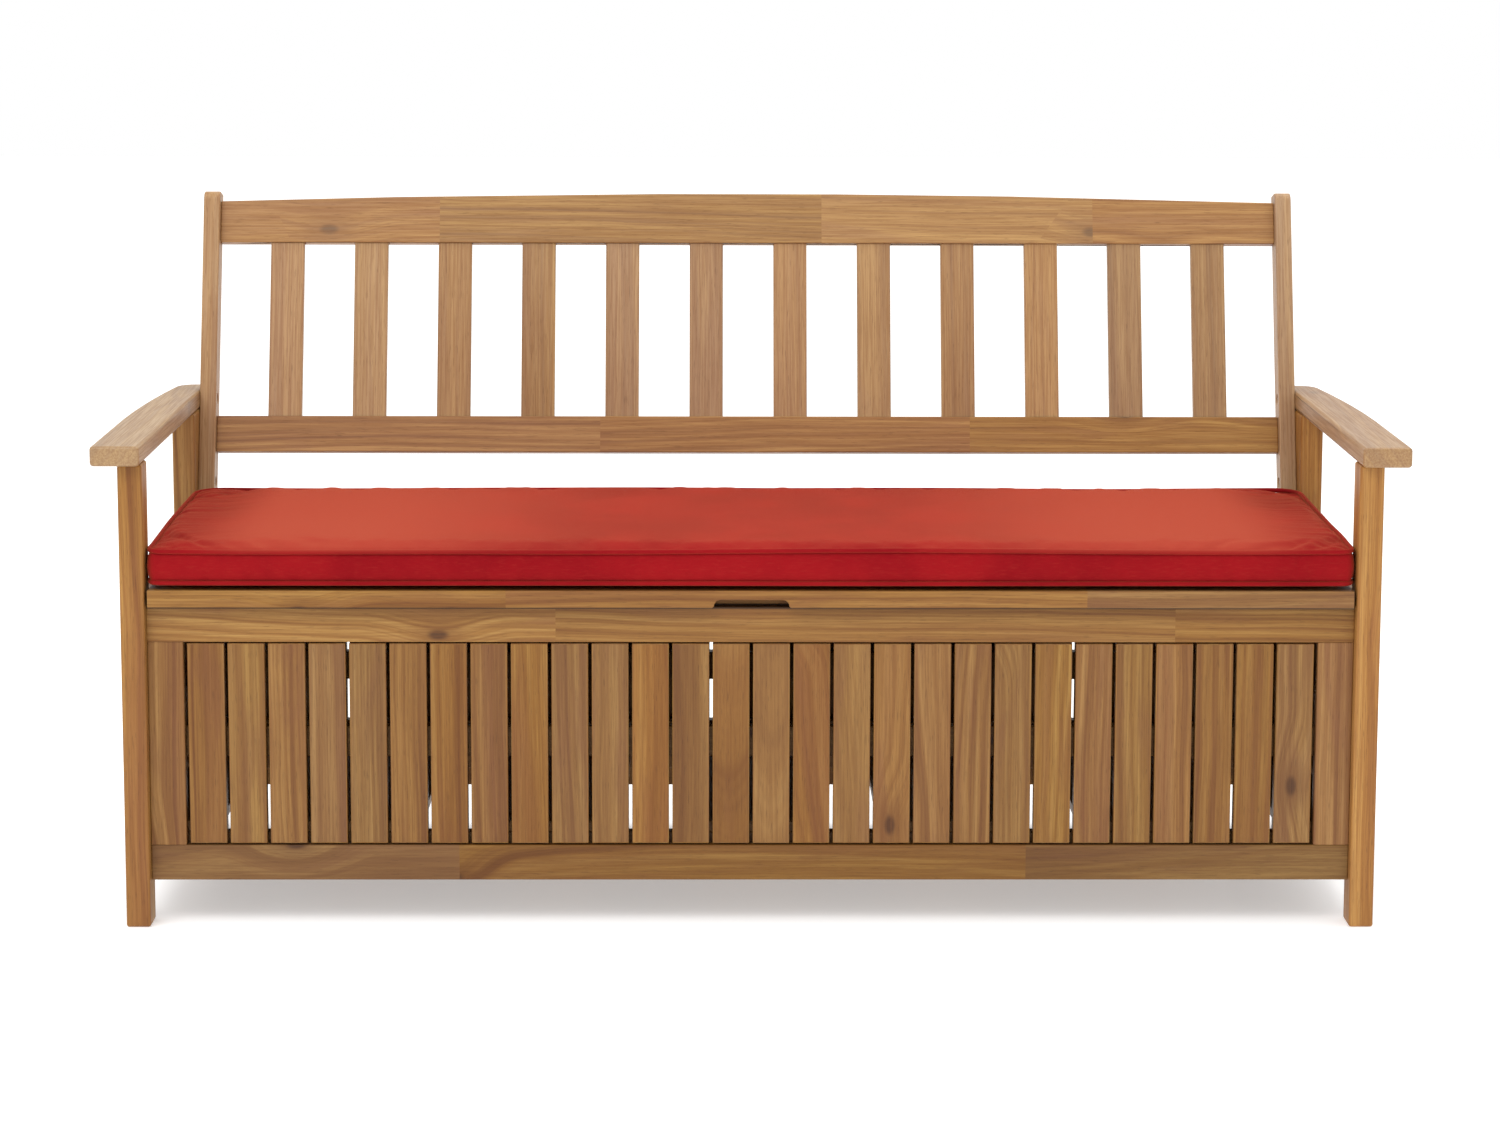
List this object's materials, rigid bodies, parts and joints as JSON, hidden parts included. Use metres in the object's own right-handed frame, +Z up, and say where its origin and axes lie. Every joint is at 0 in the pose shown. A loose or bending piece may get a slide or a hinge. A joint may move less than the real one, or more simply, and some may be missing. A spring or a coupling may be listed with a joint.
{
  "type": "garden storage bench",
  "caption": "Slatted hardwood storage bench with a hinged lid seat, leaning slatted back, flat arms and a loose piped seat cushion.",
  "frame": {"origin": "on the ground under the middle of the bench's bounding box", "axes": "+X to the right along the bench, +Y to the back, +Z up; the front faces -Y"},
  "size_m": [1.6, 0.6262, 0.8644],
  "materials": {
    "acacia_frame": "satin oil on medium brown acacia",
    "acacia_slats": "satin oil on medium brown acacia",
    "acacia_inside": "unsanded acacia",
    "hardware_steel": "zinc plated, satin",
    "cushion_fabric": "woven polyester, slight sheen"
  },
  "bodies": {
    "bench": {"front_leg_left": "acacia_frame", "front_leg_right": "acacia_frame", "rear_leg_left": "acacia_frame", "rear_leg_right": "acacia_frame", "arm_left": "acacia_frame", "arm_right": "acacia_frame", "back_post_left": "acacia_frame", "back_post_right": "acacia_frame", "back_top_rail": "acacia_frame", "back_lower_rail": "acacia_frame", "front_top_rail": "acacia_frame", "front_bottom_rail": "acacia_frame", "front_stile_left": "acacia_frame", "front_stile_right": "acacia_frame", "rear_top_rail": "acacia_frame", "rear_bottom_rail": "acacia_frame", "rear_stile_left": "acacia_frame", "rear_stile_right": "acacia_frame", "side_top_rail_left": "acacia_frame", "side_top_rail_right": "acacia_frame", "side_bottom_rail_left": "acacia_frame", "side_bottom_rail_right": "acacia_frame", "rear_seat_board": "acacia_frame", "front_slats": "acacia_slats", "rear_slats": "acacia_slats", "side_slats_left": "acacia_slats", "side_slats_right": "acacia_slats", "back_slat_01": "acacia_slats", "back_slat_02": "acacia_slats", "back_slat_03": "acacia_slats", "back_slat_04": "acacia_slats", "back_slat_05": "acacia_slats", "back_slat_06": "acacia_slats", "back_slat_07": "acacia_slats", "back_slat_08": "acacia_slats", "back_slat_09": "acacia_slats", "back_slat_10": "acacia_slats", "back_slat_11": "acacia_slats", "back_slat_12": "acacia_slats", "front_batten": "acacia_inside", "rear_battens": "acacia_inside", "side_battens": "acacia_inside", "floor_boards": "acacia_inside", "floor_ledgers": "acacia_inside", "dowels": "acacia_inside", "post_bolts": "hardware_steel", "bolt_inserts": "hardware_steel", "hinge_fixed_leaves": "hardware_steel", "hinge_pins": "hardware_steel", "hinge_screws_fixed": "hardware_steel"},
    "lid": {"lid_front_rail": "acacia_frame", "lid_rear_rail": "acacia_frame", "lid_end_left": "acacia_frame", "lid_end_right": "acacia_frame", "lid_slats": "acacia_slats", "lid_battens": "acacia_inside", "hinge_lid_leaves": "hardware_steel", "hinge_screws_lid": "hardware_steel"},
    "seat_cushion": {"cushion": "cushion_fabric"}
  },
  "joints": [
    {"name": "lid_hinge", "type": "hinge", "parent": "bench", "child": "lid", "pos_m": [0, 0.143, 0.418], "axis": [-1, 0, 0], "range_deg": [0, 80]},
    {"name": "cushion_slide", "type": "slide", "parent": "lid", "child": "seat_cushion", "axis": [0, -1, 0], "range_m": [0, 0.112]}
  ],
  "couplings": [
    {"joint": "cushion_slide", "follows": "lid_hinge", "m_per_rad": 0.0795}
  ]
}
